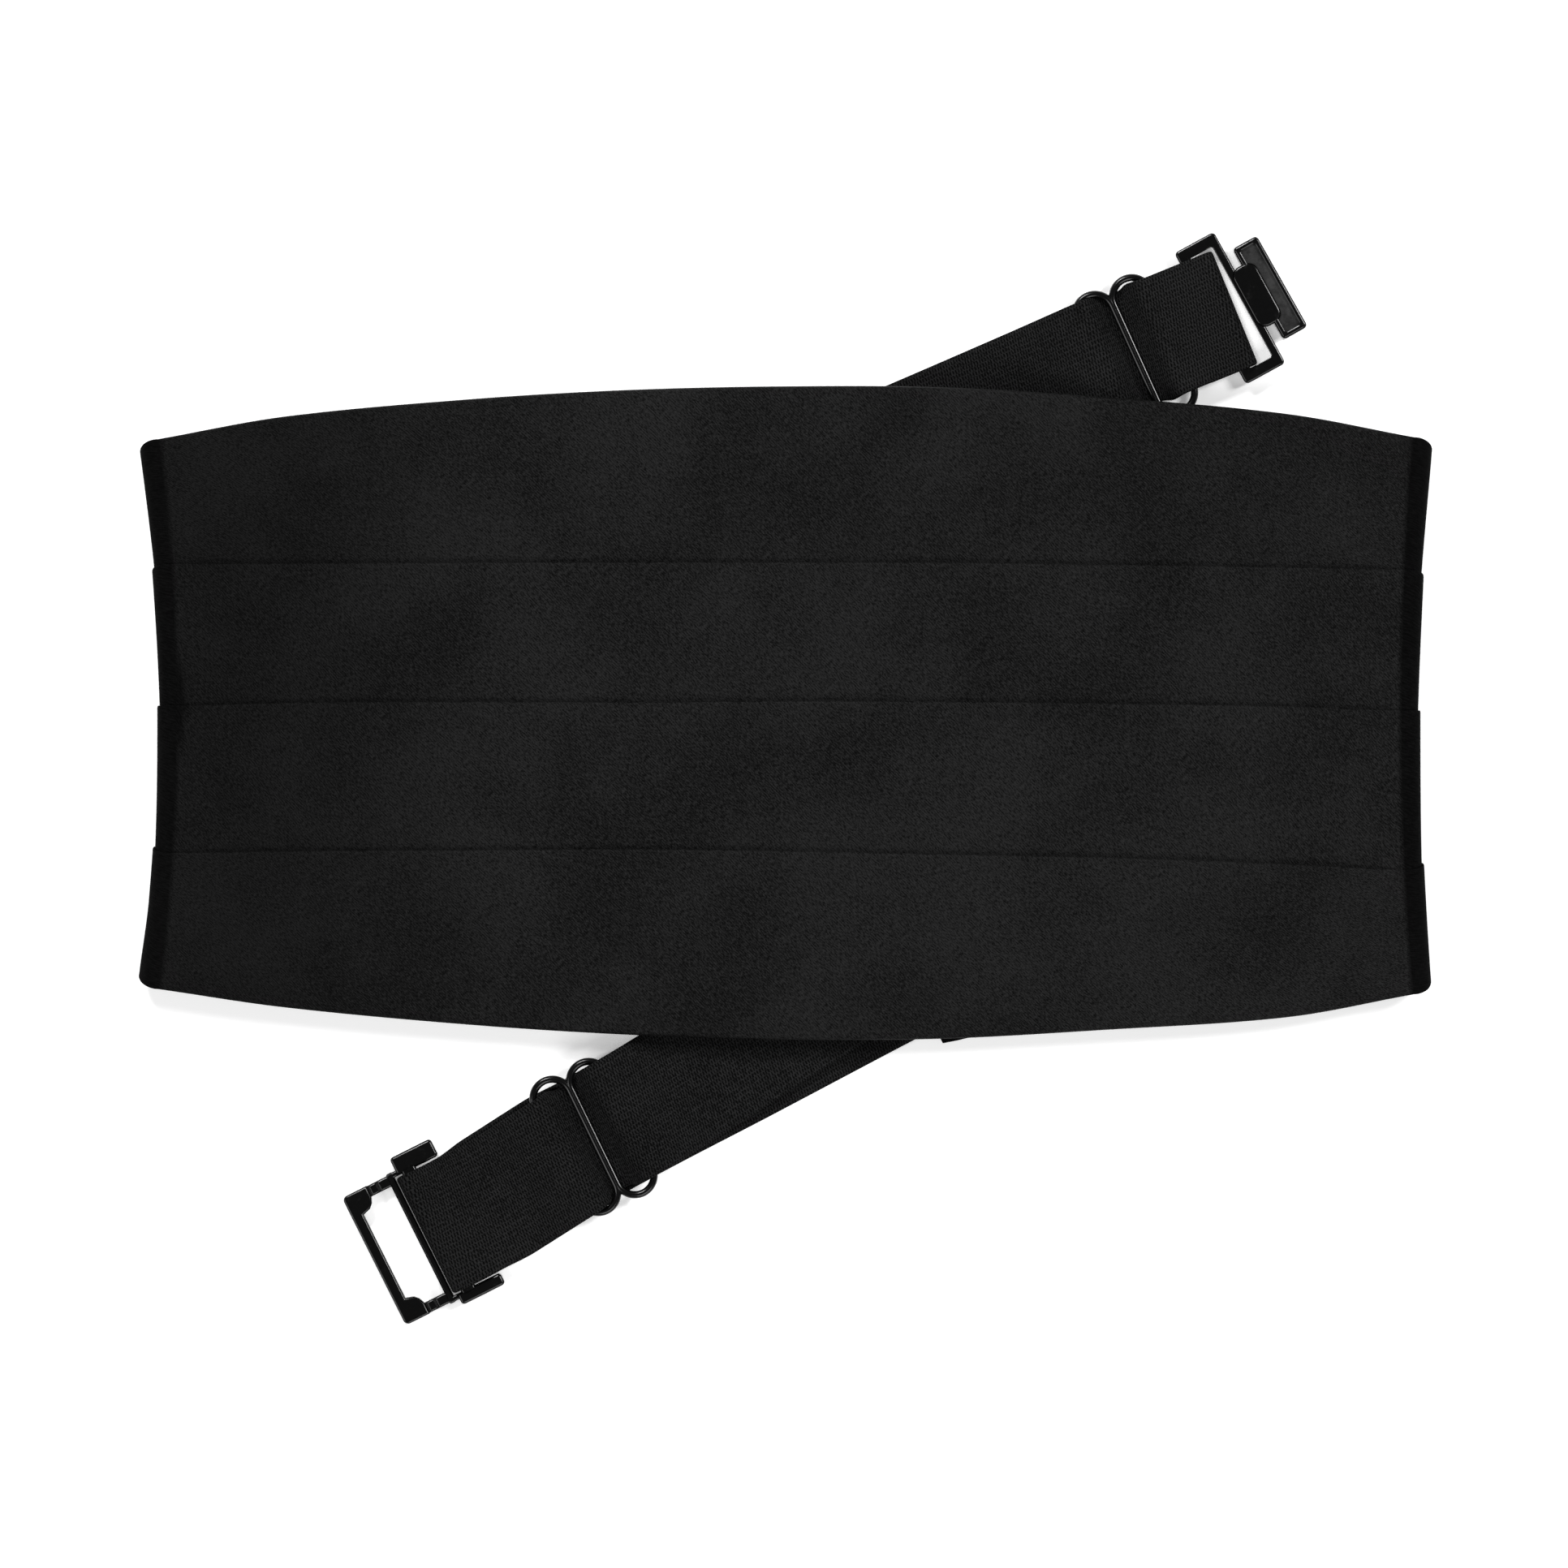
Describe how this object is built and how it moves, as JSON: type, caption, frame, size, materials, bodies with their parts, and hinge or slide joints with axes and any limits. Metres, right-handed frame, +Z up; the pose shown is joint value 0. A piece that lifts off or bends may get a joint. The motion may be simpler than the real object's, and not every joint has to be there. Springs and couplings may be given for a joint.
{
  "type": "pleated cummerbund",
  "caption": "Pleated satin waist sash folded flat, with elastic straps, wire length sliders and a hook and eye clasp.",
  "frame": {"origin": "on the surface the cummerbund lies on, under the middle of its whole outline", "axes": "+X along the band towards its right-hand rolled end, +Y across the pleats towards their open edges, +Z up out of the pleated front"},
  "size_m": [0.2506, 0.2104, 0.0077],
  "materials": {
    "satin": "black satin, soft sheen, fine twill",
    "webbing": "black ribbed elastic webbing, matte",
    "wire": "black enamelled wire, glossy",
    "clasp_plastic": "black moulded plastic, glossy, worn recess"
  },
  "bodies": {
    "root": {"pleated_band": "satin", "strap_eye_side": "webbing", "strap_hook_side": "webbing", "slider_eye_side": "wire", "slider_hook_side": "wire", "eye_clasp": "clasp_plastic", "hook_clasp": "clasp_plastic"}
  },
  "joints": []
}
